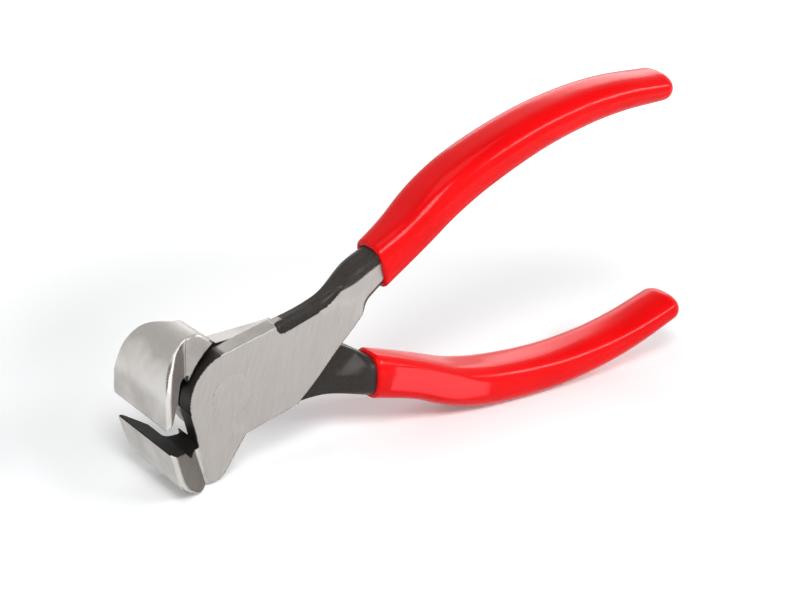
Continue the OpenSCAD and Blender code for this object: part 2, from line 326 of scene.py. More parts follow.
class Net:
    """Skin of a solid field, taken from a grid of cells and drawn on to the true surface."""

    def __init__(self, cell: float, low: Triple, high: Triple) -> None:
        """Lays out cells of one width, from the grid's lowest corner to its highest."""
        self.axes = [np.arange(a, b + cell, cell) for a, b in zip(low, high)]
        self.cell = cell

    def skin(self, field: "Forging") -> Sheet:
        """Finds the surface where the field is zero.

        Args:
            field: what gives the field at any place.

        Returns:
            The surface, with its true normals.
        """
        x, n, z = self.axes
        values = field.value(x[:, None, None], n[None, :, None], z[None, None, :])
        shape = np.array(values.shape)
        low = np.array([a[0] for a in self.axes])
        owners, places, quads = [], [], []
        for axis in range(3):
            a, b = (np.take(values, range(k, shape[axis] - 1 + k), axis=axis) for k in (0, 1))
            at = np.argwhere((a < 0) != (b < 0))
            first, last = a[tuple(at.T)], b[tuple(at.T)]
            point = at.astype(float)
            point[:, axis] += first / (first - last)
            ring = []
            for du, dv in ((0, 0), (1, 0), (1, 1), (0, 1)):
                cell = at.copy()
                cell[:, (axis + 1) % 3] -= du
                cell[:, (axis + 2) % 3] -= dv
                ring.append(np.ravel_multi_index(cell.T, shape))
            quad = np.stack(ring, axis=1)
            quad[first >= 0] = quad[first >= 0][:, ::-1]
            quads.append(quad)
            owners.append(quad.ravel())
            places.append(np.repeat(point, 4, axis=0))
        owner, place = np.concatenate(owners), np.concatenate(places)
        cells, index = np.unique(owner, return_inverse=True)
        count = np.bincount(index)
        middle = np.stack(
            [np.bincount(index, weights=place[:, k]) / count for k in range(3)], axis=1
        )
        corners = low + middle * self.cell
        faces = np.searchsorted(cells, np.concatenate(quads))
        for _ in range(SKIN_STEPS):
            value, slope = field.slope(corners)
            steep = np.maximum((slope**2).sum(1, keepdims=True), LEAST_SLOPE)
            step = value[:, None] * slope / steep
            corners = corners - np.clip(step, -self.cell, self.cell)
        _, slope = field.slope(corners)
        normals = slope / np.linalg.norm(slope, axis=1, keepdims=True)
        return Sheet(corners, faces, normals)


@dataclass(frozen=True)
class Forging:
    """One forged lever: jaw, neck, joint plate and tang, with the jaws shut."""

    line: HandleLine
    half_joint: float = 5.3
    boss_radius: float = 13.3
    plate_front: float = 14.3
    plate_back: float = 17.9
    plate_top: float = 12.1
    plate_low: float = 14.2
    waist: Pair = (0.7, -13.5)
    jaw_reach: float = 25.4
    jaw_height: float = 22.1
    jaw_round: float = 14.0
    jaw_tip: float = 14.1
    jaw_widths: Curve = Curve(
        (0, 15, 35, 51, 65, 73.5, 78), (13.7, 13.1, 10.6, 8.2, 6.8, 5.8, 5.3)
    )
    ground_widths: Curve = Curve(
        (0, 15, 35, 44, 54, 65, 78), (13.7, 13.1, 10.9, 9.7, 9.1, 7.5, 5.5)
    )
    strips: Curve = Curve((0, 35, 51, 63, 72), (1.7, 1.5, 0.9, 0.3, 0.0))
    valley: Pair = (-15.05, 4.9)
    ground_root: float = -15.05
    jaw_end: Pair = (78.05, 1.8)
    strip_gap: float = 0.3
    side_round: float = 0.5
    foot_round: float = 1.2
    rim_round: float = 0.7
    root_fillet: float = 0.6
    blunt: Pair = (0.8, 1.3)
    sink: float = 0.06
    neck_round: float = 1.2
    neck_fade: Pair = (15.0, 4.0)
    back_length: float = 4.6
    back_round: float = 5.0
    hollow: Pair = (7.9, 1.9)
    hollow_radius: float = 23.4
    cut_edge: float = 0.25
    face_level: float = 0.05
    bevel_run: float = 5.8
    bevel_drop: float = 5.0
    edge_land: float = 0.3
    edge_level: float = 0.05
    throat_depth: float = 9.4
    throat_round: float = 1.5
    throat_edge: float = 0.12
    tang_top: float = 11.1
    tang_low: float = 14.1
    tang_edge: float = 0.3
    tang_step: float = 0.06
    crease: Pair = (0.15, 3.0)
    swell_start: float = 33.0
    swell_run: float = 14.0
    low_swell: Triple = (6.0, 11.5, 7.0)
    core_round: float = 0.8
    flute: Triple = (20.2, 5.05, 0.25)
    flute_radius: float = 2.3
    flute_share: float = 0.26
    flute_fade: float = 13.0
    band_end: float = 21.6
    slot_fillet: float = 0.3
    steel_inset: float = 1.5
    hole_radius: float = 4.0
    hole_edge: float = 0.015
    head_radius: float = 6.0
    head_depth: float = 1.8
    edge: float = 0.32
    grid: tuple[Triple, Triple] = ((-26.6, -15.1, -23.6), (62.9, 15.1, 20.6))
    top_rise: Curve = Curve(
        (0, 0.1, 0.26, 0.397, 0.546, 0.694, 0.851, 1), (0.22, 0.11, 0.01, 0.04, 0.2, 0.466, 0.82, 1)
    )
    low_rise: Curve = Curve((0, 0.2, 0.4, 0.61, 0.76, 1), (0, 0.196, 0.43, 0.651, 0.82, 1))

    @property
    def centre(self) -> Pair:
        """Centre of the jaw's curve, by x and z."""
        return self.jaw_round - self.jaw_reach, self.jaw_round - self.jaw_height

    def turn_at(self, z: Array) -> Array:
        """Angle up the jaw's curve at a height, in radians."""
        return np.arcsin(np.clip((self.centre[1] - z) / self.jaw_round, 0, 0.999))

    def root_at(self, n: Array) -> Array:
        """Where the jaw's side meets the neck, on the ground side and on the other."""
        return np.where(n > 0, self.ground_root, self.valley[0])

    def boss_touch(self, point: Array, way: int) -> float:
        """Angle in degrees where a line from a point touches the boss, on one side of it."""
        reach = math.acos(self.boss_radius / np.linalg.norm(point))
        return math.degrees(math.atan2(point[1], point[0]) + way * reach)

    def plate_outline(self) -> Array:
        """Outline of the joint plate and the neck.

        Returns:
            Its corners, one row of x and z each.
        """
        foot = np.array([-self.plate_front, -self.jaw_height])
        back_foot, waist = foot + [self.back_length, 0], np.array(self.waist)
        top = np.array([self.plate_back, self.plate_top])
        ends = self.boss_touch(top, 1), 360 + self.boss_touch(foot, -1)
        boss = arc((0, 0), self.boss_radius, *ends, 72)
        return chain(
            boss,
            [mix(foot, boss[-1], 0.25)],
            arc(self.centre, self.jaw_round - self.sink, 256, 270, 6),
            rounded(foot, back_foot, waist, self.back_round),
            [waist, [self.plate_back, -self.plate_low], top],
        )

    def jaw_outline(self) -> Array:
        """Outline of the jaw's outer face, closed inside the plate.

        Returns:
            Its corners, one row of x and z each.
        """
        last, past = self.jaw_end
        curve = arc(self.centre, self.jaw_round, 180, 180 + last, 32)
        inside = past - self.plate_front
        return chain([[-self.jaw_reach, 1]], curve, [[inside, curve[-1][1] + 0.6], [inside, 1]])

    def throat_outline(self) -> Array:
        """Outline of what is cut away behind the cutting edge.

        Returns:
            Its corners, one row of x and z each.
        """
        start = np.array([self.edge_land - self.jaw_reach, -self.edge_level])
        bevel = np.array([self.bevel_run - self.jaw_reach, -self.bevel_drop])
        foot = np.array([bevel[0] + (self.throat_depth - self.bevel_drop) / 2, -self.throat_depth])
        end, ahead = np.array([0, -self.throat_depth]), -self.jaw_reach - 1
        return chain(
            [start, bevel],
            rounded(bevel, foot, end, self.throat_round),
            [end, [0, 2], [ahead, 2], [ahead, start[1]]],
        )

    def mouth_corners(self) -> tuple[Array, Array]:
        """Top and low corner of the steel at the mouth of the grip, seen along the rivet."""
        line, mouth = self.line, np.array(0.0)
        half = line.normal(mouth) * (line.width_at(mouth) - self.steel_inset)
        return line.at(mouth) + half, line.at(mouth) - half

    def top_at(self, x: Array, first: float = 0.0) -> Array:
        """Height of the tang's top.

        Args:
            x: places along the lever.
            first: share of the tang before which the height is held.

        Returns:
            The heights.
        """
        top, _ = self.mouth_corners()
        t = np.clip((x - self.plate_back) / (top[0] - self.plate_back), first, 1)
        return mix(self.tang_top, top[1], self.top_rise.at(t))

    def tang_outline(self) -> Array:
        """Outline of the tang, from inside the plate to inside the grip.

        Returns:
            Its corners, one row of x and z each.
        """
        line, t = self.line, np.linspace(0, 1, 26)
        top, low = self.mouth_corners()
        upper_x = mix(self.plate_back, top[0], t)
        upper = np.stack([upper_x, self.top_at(upper_x)], 1)
        lower = np.stack(
            [mix(self.plate_back, low[0], t), mix(-self.tang_low, low[1], self.low_rise.at(t))], 1
        )
        s = np.linspace(0.01, 0.08, 8)
        centre, side = line.at(s), line.normal(s)
        half = (line.width_at(s) - self.steel_inset)[:, None]
        root = self.plate_back - 3
        return chain(
            [[root, 1.5 - self.tang_low], *lower],
            centre - side * half,
            (centre + side * half)[::-1],
            [*upper[::-1], [root, upper[0][1] - 1.0]],
        )

    def jaw(self, x: Array, n: Array, z: Array, outer: Array) -> Array:
        """Field of the jaw, with its bright strips, its hollow sides and its throat.

        Args:
            x: places along the lever.
            n: places along the rivet.
            z: heights.
            outer: distance from the outline of the outer face.

        Returns:
            The field at each place.
        """
        turn = self.turn_at(z)
        a = np.degrees(turn)
        face = self.centre[0] - self.jaw_round * np.cos(turn)
        depth, run = self.blunt
        flare = (self.jaw_tip - self.jaw_widths.ys[0]) * np.clip(1 - z / self.centre[1], 0, 1)
        flare = flare - depth * np.clip(1 + z / run, 0, 1) ** 2
        half = np.where(n > 0, self.ground_widths.at(a), self.jaw_widths.at(a)) + flare
        inner = np.where(n > 0, self.valley[1], self.half_joint)
        strip = face + self.strips.at(a)
        root = np.maximum(self.root_at(n), strip + self.strip_gap)
        fall = (half - inner) / (root - strip)
        slant = (np.abs(n) - half + fall * (x - strip)) / np.sqrt(1 + fall**2)
        side = overlap(np.abs(n) - half, slant, self.side_round)
        side = join(side, np.abs(n) - inner, np.where(n > 0, self.side_round, self.foot_round))
        body = overlap(outer, side, self.rim_round)
        throat = outline_distance(self.throat_outline(), x, z)
        return overlap(body, -throat, self.throat_edge)

    def thickening(self, x: Array, z: Array) -> Array:
        """Share of the way from the thin tang to the full steel at the grip's mouth.

        Args:
            x: places along the lever.
            z: heights.

        Returns:
            A share for each place.
        """
        height, delay, hurry = self.low_swell
        low = np.clip((height - z) / height, 0, 1)
        return ease((x - self.swell_start - delay * low) / (self.swell_run - hurry * low))

    def front(self, x: Array, z: Array) -> Array:
        """How far the steel reaches towards its ground face."""
        depth = self.line.half_depth * self.line.depths.at(0.0) - self.steel_inset
        return mix(self.half_joint, depth, self.thickening(x, z))

    def tang(self, x: Array, n: Array, z: Array) -> Array:
        """Field of the tang, thin by the plate and full at the mouth of the grip.

        Args:
            x: places along the lever.
            n: places along the rivet.
            z: heights.

        Returns:
            The field at each place.
        """
        k = self.thickening(x, z)
        front = self.front(x, z)
        soft = self.core_round * (self.line.half_width - self.steel_inset)
        back = mix(self.face_level + self.tang_step, -front, k)
        outline = outline_distance(self.tang_outline(), x, z)
        crease = self.crease[0] * ease(k * self.crease[1])
        body = overlap(outline, n - front - crease, mix(self.tang_edge, soft, k))
        return overlap(body, back - n, mix(self.edge, soft, k))

    def groove(self, x: Array, n: Array, z: Array) -> Array:
        """Field of the groove along the tang's top and ground face, round at its start.

        Args:
            x: places along the lever.
            n: places along the rivet.
            z: heights.

        Returns:
            The field at each place.
        """
        start, across, lift = self.flute
        level = self.top_at(x, self.flute_share) + lift
        ahead = np.minimum(x - start, 0)
        radius = self.flute_radius * (1 - ease((x - self.swell_start) / self.flute_fade))
        return np.sqrt((n - across) ** 2 + (z - level) ** 2 + ahead**2) - radius

    def value(self, x: Array, n: Array, z: Array) -> Array:
        """Field of the whole lever: negative in the steel, and about the distance outside it.

        Args:
            x: places along the lever.
            n: places along the rivet.
            z: heights.

        Returns:
            The field at each place.
        """
        outline = outline_distance(self.plate_outline(), x, z)
        start, run = self.neck_fade
        soft = mix(self.edge, self.neck_round, ease((-z - start) / run) * (n < 0))
        plate = overlap(outline, np.abs(n) - self.half_joint, soft)
        outer = outline_distance(self.jaw_outline(), x, z)
        fillet = CREVICE + self.root_fillet * ease((-outer - 0.3) / 1.5) * (n > 0)
        solid = join(plate, self.jaw(x, n, z, outer), fillet)
        circle = np.hypot(x - self.hollow[0], z - self.hollow[1]) - self.hollow_radius
        hollow = np.maximum(circle, n - self.face_level)
        solid = overlap(solid, -hollow, self.cut_edge)
        fillet = CREVICE + self.slot_fillet * ease((n - 0.8) / 1.5)
        solid = join(solid, self.tang(x, n, z), fillet)
        flat = x > self.root_at(n) + np.where(n > 0, 1.1, 0.5)
        level = np.where(flat, np.abs(n) - self.front(x, z), -np.inf)
        solid = overlap(np.maximum(solid, level), -self.groove(x, n, z), self.cut_edge)
        radius = np.hypot(x, z)
        cone = radius - np.clip(
            self.head_radius - (self.half_joint - n), self.hole_radius, self.head_radius
        )
        hole = np.where(n > self.half_joint - self.head_depth, cone, radius - self.hole_radius)
        return overlap(solid, -hole, self.hole_edge)

    def slope(self, points: Array) -> tuple[Array, Array]:
        """The field and its slope.

        Args:
            points: rows of x, n and z.

        Returns:
            The field at each point, and a row with its slope.
        """
        slopes = [
            (self.value(*(points + shift).T) - self.value(*(points - shift).T)) / (2 * SLOPE_STEP)
            for shift in np.eye(3) * SLOPE_STEP
        ]
        return self.value(*points.T), np.stack(slopes, axis=1)

    def tone(self, points: Array, normals: Array) -> Array:
        """How the steel is toned: 0 painted highlight, 0.25 ground, 1 black and 1.4 painted deep
        shade, with painted shade between ground and black.

        Args:
            points: rows of x, n and z.
            normals: the surface's directions there.

        Returns:
            A tone for each point.
        """
        x, n, z = points.T
        along, across, up = normals[:, 0], np.abs(normals[:, 1]), normals[:, 2]
        tone = np.ones(len(points))
        throat = outline_distance(self.throat_outline(), x, z)
        shell = np.abs(outline_distance(self.plate_outline(), x, z))
        a, root = self.turn_at(z), self.root_at(n)
        out = -along * np.cos(a) - up * np.sin(a)

        # The throat, and the face that the other lever turns on, in painted deep shade.
        inner = (x < -3) & (z > -self.throat_depth - 0.3) & (np.abs(throat) < 0.2)
        hollow = np.hypot(x - self.hollow[0], z - self.hollow[1]) < self.hollow_radius + 0.2
        tone[inner | (hollow & (n < 0.3) & (x < self.band_end))] = DEEP_SHADE

        # The jaw, toned by which way it faces: painted highlight on the strips, painted shade on
        # the flanks and in a crescent up the side, and a painted light-to-dark gradient across the
        # outer face.
        jaw = (x < root + 1.0) & (throat > 0.1)
        side = mix(STRIP_HIGHLIGHT, FLANK_SHADE, ease((along - 0.05) / 0.5))
        dark = ease((a - 0.15) / 0.3) * ease((0.95 - a) / 0.3) * ease((out - 0.45) / 0.2)
        side = mix(side, CRESCENT_SHADE, dark)
        face = 0.13 + 0.15 * ease((a - 0.55) / 0.5) + 0.06 * ease((0.2 - a) / 0.3)
        side = mix(side, face, ease((out - 0.88) / 0.08))
        tone = np.where(jaw, side, tone)

        # The neck's other face in painted shade, and painted highlights on the lips along its
        # edges.
        ground = ease((n - self.half_joint + 0.3) / 0.15) * ease((normals[:, 1] - 0.87) / 0.11)
        near = ease((0.7 - self.half_joint - n) / 0.2) * (x < 0) * (x > root)
        tone = mix(tone, GROUND_SHADE, near * ease((-normals[:, 1] - 0.8) / 0.1))
        lip = ease((across - 0.2) / 0.2) * ease((0.97 - across) / 0.04) * (shell < 1.2)
        tone = mix(tone, EDGE_HIGHLIGHT, lip * (z < -18) * (n < -3) * (x > root) * (x < 0))
        tone = mix(tone, EDGE_HIGHLIGHT, lip * (x < -12.6) * (x > root) * (n > 4) * (z < -9))

        # Painted shade on the plate's top short of the slot and on its underside; its ground face;
        # a painted highlight along the top edge.
        free = ease(self.groove(x, n, z) / 0.15)
        top = ease((up - 0.55) / 0.1) * (n > -0.1) * free * ease((0.97 - across) / 0.05)
        reach = ease((x + 0.5) / 2.5) * ease((self.band_end - x) / 0.4) * (z > 8)
        tone = mix(tone, GROUND_SHADE, top * reach)
        low = (shell < 0.4) & (across < 0.5) & (up < -0.2)
        low &= (z < -self.boss_radius * 0.9) & (x > root + 1) & (x < self.plate_back)
        tone[low] = UNDERSIDE_SHADE
        tone = mix(tone, GROUND, ground * (x > root + 0.5))
        # Painted highlight along the top edge of the ground face.
        edge = lip * (n > 4.5) * (up > 0.2) * (z > 4) * (x > 0) * (x < self.plate_back)
        return mix(tone, EDGE_HIGHLIGHT, edge)

    def core(self) -> Sheet:
        """The steel inside the grip, from just inside the mouth to the handle's end.

        Returns:
            A closed sheet.
        """
        along = 40
        s = chain(np.linspace(0.03, 1, along), np.ones(len(INNER_CAP)))[:, None]
        caps = chain(np.zeros(along), INNER_CAP)[:, None]
        sheet = rings_to_sheet(handle_points(self.line, self.steel_inset, s, caps, turns_round(48)))
        return Sheet(sheet.corners, outward(sheet.corners, sheet.faces))

    def build(self) -> Sheet:
        """The whole lever as one sheet.

        Returns:
            The skin and the steel inside the grip, with their normals and tones.
        """
        skin, core = Net(CELL, *self.grid).skin(self), self.core()
        faces = outward(skin.corners, skin.faces)
        return Sheet(
            chain(skin.corners, core.corners),
            chain(faces, core.faces + len(skin.corners)),
            chain(skin.normals, corner_normals(core)),
            chain(self.tone(skin.corners, skin.normals), np.ones(len(core.corners))),
        )


def handle_points(
    line: HandleLine, inset: float, s: Array, cap: Array | float, turn: Array
) -> Array:
    """Points on a handle and round its end.

    Args:
        line: the handle's centre line.
        inset: how far inside the grip's surface they lie.
        s: shares of the run.
        cap: angles round the end, in radians.
        turn: angles round the section, in radians.

    Returns:
        The points' x, n and z, for each s, cap and turn that go together.
    """
    s, cap, turn = np.broadcast_arrays(s, cap, turn)
    across = np.sign(np.cos(turn)) * np.abs(np.cos(turn)) ** (2 / line.swell)
    along = np.sign(np.sin(turn)) * np.abs(np.sin(turn)) ** (2 / line.squares.at(s))
    width = (line.width_at(s) - inset) * np.cos(cap)
    thinned = mix(line.tip_blunt, 1, np.sin(cap) ** 8)
    depth = (line.depth_at(s) - inset) * mix(1, np.cos(cap), thinned)
    centre = line.at(s) + line.way(s) * ((line.tip_length - inset) * np.sin(cap))[..., None]
    plane = centre + line.normal(s) * (width * across)[..., None]
    return np.stack([plane[..., 0], depth * along, plane[..., 1]], axis=-1)


def corner_normals(sheet: Sheet) -> Array:
    """Directions at a sheet's corners, from the faces that meet there.

    Args:
        sheet: the sheet.

    Returns:
        A direction of length 1 for each corner.
    """
    a, b, c, d = (sheet.corners[sheet.faces[:, k]] for k in range(4))
    square = np.cross(c - a, d - b)
    total = np.zeros_like(sheet.corners)
    for k in range(4):
        np.add.at(total, sheet.faces[:, k], square)
    return total / np.maximum(np.linalg.norm(total, axis=1, keepdims=True), 1e-12)


def rings_to_sheet(rings: Array) -> Sheet:
    """Closed sheet through rings of points, with a pole at each end.

    Args:
        rings: the rings, each with as many points, by x, n and z.

    Returns:
        The sheet.
    """
    count, around = rings.shape[:2]
    corners = chain(rings.reshape(-1, 3), [rings[0].mean(0)], [rings[-1].mean(0)])
    here = np.arange(count * around).reshape(count, around)
    after = np.roll(here, -1, axis=1)
    quads = np.stack([here[:-1], after[:-1], after[1:], here[1:]], axis=-1).reshape(-1, 4)
    first, last = (np.full(around, count * around + pole) for pole in (0, 1))
    start = np.stack([after[0], here[0], first, first], axis=1)
    end = np.stack([here[-1], after[-1], last, last], axis=1)
    return Sheet(corners, chain(quads, start, end))


@dataclass(frozen=True)
class Grip:
    """Dipped sleeve with a rolled lip, a pressed flat on its far side and a round end."""

    line: HandleLine
    mouth: Pair = (53.2, 0.0)
    mouth_level: float = 6.0
    wall: float = 1.9
    around: int = 128
    settled: float = 0.08
    panel_start: float = -0.022
    panel_end: float = 0.308
    panel_half: float = 3.7
    panel_lean: float = -0.8
    panel_depth: float = 0.5
    panel_taper: Pair = (0.18, 1.5)
    panel_fade: Triple = (0.7, 0.01, 0.014)
    mouth_steps: int = 12
    rings: tuple[int, ...] = (14, 110, 14, 40, 11)

    def mouth_shares(self, inset: float, turns: Array) -> Array:
        """Where the grip's surface comes to the mouth, which leans against the handle.

        Args:
            inset: how far inside the grip's surface to look.
            turns: angles round the section, in radians.

        Returns:
            A share of the run for each angle.
        """
        reach, lean = self.mouth
        s = np.zeros_like(turns)
        for _ in range(self.mouth_steps):
            at = handle_points(self.line, inset, s, 0.0, turns)
            wanted = reach + lean * (at[:, 2] - self.mouth_level)
            s = np.maximum(s + (wanted - at[:, 0]) / self.line.run, self.line.first_share)
        return s

    def build(self) -> Sheet:
        """The sleeve's outside, its lip and its inside, as one closed sheet.

        Returns:
            The sheet, in the shut place of the front lever.
        """
        line, roll = self.line, self.wall / 2
        settling, along, cap, inside, curl = self.rings
        turns = turns_round(self.around)
        first = self.mouth_shares(0.0, turns) + roll / line.run
        start = mix(first, self.settled, np.linspace(0, 1, settling)[:-1, None])
        rest = np.broadcast_to(np.linspace(self.settled, 1, along)[:, None], (along, self.around))
        shares = chain(start, rest)
        side = handle_points(line, 0.0, shares, 0.0, turns)
        panel = self.panel(side, shares)
        side[..., 1] += self.panel_depth * panel
        last, ends = np.ones((1, 1)), np.radians(np.linspace(6, 88, cap))[:, None]
        end = handle_points(line, 0.0, last, ends, turns)
        outer = chain(side, end)
        within = mix(first, 1, np.linspace(0, 1, inside)[:, None])
        inner = chain(
            handle_points(line, self.wall, within, 0.0, turns),
            handle_points(line, self.wall, last, INNER_CAP[:, None], turns),
        )
        way = line.way(np.array(0.0))
        back = -np.array([way[0], 0, way[1]])
        lip = []
        for angle in np.radians(np.linspace(0, 180, curl))[1:-1]:
            ring = mix(outer[0], inner[0], (1 - math.cos(angle)) / 2)
            lip.append(ring + back * roll * math.sin(angle))
        sheet = rings_to_sheet(chain(inner[::-1], np.array(lip)[::-1], outer))
        before, after = (len(inner) + len(lip)) * self.around, len(end) * self.around + 2
        # The pressed flat's share goes out as the tone, which the plastic turns into a painted
        # reflection.
        tone = chain(np.zeros(before), panel.ravel(), np.zeros(after))
        return Sheet(sheet.corners, sheet.faces, None, tone)

    def panel(self, points: Array, s: Array) -> Array:
        """Share of the pressed flat at each point of the outside.

        Args:
            points: rings of points, by x, n and z.
            s: their shares of the run.

        Returns:
            1 in the flat and 0 outside it, for the side with n below 0.
        """
        away = self.line.normal(s)
        offset = points[..., [0, 2]] - self.line.at(s)
        across = (offset * away).sum(-1)
        start, narrowing = self.panel_taper
        side, first, last = self.panel_fade
        half = self.panel_half - narrowing * ease((s - start) / (self.panel_end - start))
        wide = ease((half - np.abs(across - self.panel_lean)) / side)
        long = ease((s - self.panel_start) / first) * ease((self.panel_end - s) / last)
        return wide * long * (points[..., 1] < 0)


@dataclass(frozen=True)
class Rivet:
    """Rivet with two countersunk heads, ground flush."""

    radius: float = 3.97
    head_radius: float = 6.1
    proud: float = 0.012
    head_depth: float = 1.8
    half_joint: float = 5.3
    edge: float = 0.015
    around: int = 128

    def build(self) -> Sheet:
        """The rivet, turned about its axis.

        Returns:
            A closed sheet.
        """
        h, r, e = self.half_joint + self.proud, self.head_radius, self.edge
        side = [(h, r * 0.3), (h, r * 0.8), (h, r - e * 2), (h - e * 0.3, r - e * 0.6)]
        side += [(h - e, r - e * 0.2), (h - self.head_depth, self.radius), (0, self.radius)]
        profile = side + [(-n, w) for n, w in side[-2::-1]]
        a = turns_round(self.around)
        rings = [
            np.stack([w * np.cos(a), np.full_like(a, n), w * np.sin(a)], axis=1)
            for n, w in profile
        ]
        return rings_to_sheet(np.array(rings))


class Paint:
    """One material under construction."""

    def __init__(self, name: str, **sockets: float | Colour | tuple[float, ...]) -> None:
        """Starts a material.

        Args:
            name: the material's name.
            sockets: values of the shader's own sockets, with _ for a space.
        """
        self.material = bpy.data.materials.new(name)
        self.material.use_nodes = True
        self.tree = self.material.node_tree
        self.shader = self.tree.nodes["Principled BSDF"]
        for key, value in sockets.items():
            self.fill(self.shader.inputs[key.replace("_", " ")], value)
        self.place = self.add("ShaderNodeTexCoord").outputs["Object"]

    def fill(self, socket: Socket, value: object) -> None:
        """Links a socket to an output, or sets its value.

        Args:
            socket: the socket.
            value: an output, a colour or another value.
        """
        if isinstance(value, Socket):
            self.tree.links.new(value, socket)
        elif isinstance(value, tuple) and len(value) == 3 and socket.type == "RGBA":
            socket.default_value = (*value, 1)
        else:
            socket.default_value = value

    def add(
        self, kind: str, inputs: dict[str | int, object] | None = None, **settings: object
    ) -> bpy.types.Node:
        """Adds a node.

        Args:
            kind: the node's type.
            inputs: values or outputs for its sockets.
            settings: values of its settings.

        Returns:
            The node.
        """
        node = self.tree.nodes.new(kind)
        for key, value in settings.items():
            setattr(node, key, value)
        for key, value in (inputs or {}).items():
            self.fill(node.inputs[key], value)
        return node

    def noise(
        self, scale: float, stretch: Triple = (1, 1, 1), detail: float = 3, tilt: float = 0
    ) -> Socket:
        """Noise in the piece's own place.

        Args:
            scale: grains in a millimetre.
            stretch: shares of that scale along x, y and z.
            detail: layers of finer grain.
            tilt: turn of the grain about the rivet's axis, in degrees.

        Returns:
            The noise's output.
        """
        size = tuple(scale / MM * s for s in stretch)
        turned = self.add(
            "ShaderNodeMapping", {"Vector": self.place, "Rotation": (0, math.radians(tilt), 0)}
        )
        sized = self.add("ShaderNodeMapping", {"Vector": turned.outputs[0], "Scale": size})
        return self.add(
            "ShaderNodeTexNoise", {"Vector": sized.outputs[0], "Scale": 1, "Detail": detail}
        ).outputs["Fac"]

    def remap(
        self, value: Socket, low: float, high: float, to_low: float = 0, to_high: float = 1
    ) -> Socket:
        """Value moved from one range to another and held inside it."""
        ports = dict(enumerate((value, low, high, to_low, to_high)))
        return self.add("ShaderNodeMapRange", ports).outputs["Result"]

    def math(self, operation: str, a: object, b: object) -> Socket:
        """One sum of two values."""
        return self.add("ShaderNodeMath", {0: a, 1: b}, operation=operation).outputs[0]

    def blend(self, share: object, a: object, b: object) -> Socket:
        """Colour between a and b."""
        return self.add("ShaderNodeMix", {0: share, 6: a, 7: b}, data_type="RGBA").outputs[2]

    def weighed(self, fine: Socket, broad: Socket) -> Socket:
        """Mostly one grain, with some of a broader one."""
        parts = (self.math("MULTIPLY", fine, 0.7), self.math("MULTIPLY", broad, 0.3))
        return self.math("ADD", *parts)

    def share(self, share: object, a: object, b: object) -> Socket:
        """Value between a and b."""
        return self.add("ShaderNodeMix", {0: share, 2: a, 3: b}, data_type="FLOAT").outputs[0]

    def bump(self, height: Socket, depth: float, before: object = None) -> Socket:
        """Normal for a relief of a depth in millimetres.

        Args:
            height: the relief, from 0 to 1.
            depth: its depth.
            before: normal of a relief under it, if there is one.

        Returns:
            The normal's output.
        """
        ports: dict[str | int, object] = {"Height": height, "Distance": depth * MM}
        if before is not None:
            ports["Normal"] = before
        return self.add("ShaderNodeBump", ports).outputs["Normal"]

    def finish(self, **sockets: object) -> Material:
        """Links the shader's sockets and returns the material.

        Args:
            sockets: outputs or values for them, with _ for a space.

        Returns:
            The material.
        """
        for key, value in sockets.items():
            self.fill(self.shader.inputs[key.replace("_", " ")], value)
        return self.material


@dataclass(frozen=True)
class ForgedSteel:
    """Black forged steel, ground bright where the tone share is low, with a painted highlight at
    the lowest tones and painted shade between ground and black and past black.
    """

    # Painted highlight, for strips and edges that face the light.
    highlight_paint: Colour = (0.62, 0.60, 0.575)
    bright: Colour = BRIGHT
    bright_dark: Colour = BRIGHT_DARK
    # Brown-grey for painted shade on ground steel, set by which way it faces.
    shade_brown: Colour = (0.19, 0.172, 0.155)
    shade_brown_dark: Colour = (0.12, 0.107, 0.095)
    black: Colour = (0.028, 0.0235, 0.0205)
    black_light: Colour = (0.043, 0.0365, 0.032)
    # Near black for painted shade in the throat and between the levers.
    deep: Colour = (0.006, 0.005, 0.0042)
    deep_shade_speck: Colour = (0.011, 0.009, 0.0075)

    def material(self) -> Material:
        """Builds the material.

        Returns:
            The material, which reads each piece's tone.
        """
        paint = Paint("forged steel", Specular_IOR_Level=0.14)
        tone = paint.add("ShaderNodeAttribute", attribute_name="tone").outputs["Fac"]
        fine = paint.noise(6.0, (1, 1, 0.03), 4, GRAIN_TILT)
        broad = paint.noise(1.1, (1, 1, 0.1), 3, GRAIN_TILT)
        patch, pits = paint.noise(0.12), paint.noise(1.6, detail=5)
        ragged = paint.math("ADD", tone, paint.remap(patch, 0.3, 0.7, -0.05, 0.05))
        lines = paint.weighed(fine, broad)
        grain = paint.remap(lines, 0.34, 0.66)
        speck = paint.remap(pits, 0.35, 0.7)
        ground = paint.blend(grain, self.bright_dark, self.bright)
        shade_brown = paint.blend(speck, self.shade_brown_dark, self.shade_brown)
        black = paint.blend(speck, self.black, self.black_light)
        # Painted highlight below the ground tone, painted brown-grey shade above it, black, then
        # painted deep shade.
        highlight_share = paint.remap(ragged, 0.1, 0.22)
        brown_shade_share = paint.remap(ragged, 0.33, 0.55)
        blacked = paint.remap(ragged, 0.68, 0.92)
        colour = paint.blend(highlight_share, self.highlight_paint, ground)
        colour = paint.blend(brown_shade_share, colour, shade_brown)
        colour = paint.blend(blacked, colour, black)
        deep_shade_colour = paint.blend(speck, self.deep, self.deep_shade_speck)
        shaded = paint.remap(ragged, 1.1, 1.3)
        colour = paint.blend(shaded, colour, deep_shade_colour)
        dull = paint.remap(lines, 0.3, 0.7, 0.36, 0.48)
        rough = paint.share(brown_shade_share, dull, paint.remap(pits, 0.3, 0.7, 0.42, 0.56))
        rough = paint.share(blacked, rough, paint.remap(pits, 0.3, 0.7, 0.28, 0.4))
        rough = paint.share(shaded, rough, 0.75)
        metal = paint.remap(ragged, 0.35, 0.85, 0.85, 0.0)
        relief = paint.bump(lines, 0.02)
        relief = paint.bump(pits, 0.03, relief)
        return paint.finish(Base_Color=colour, Roughness=rough, Metallic=metal, Normal=relief)


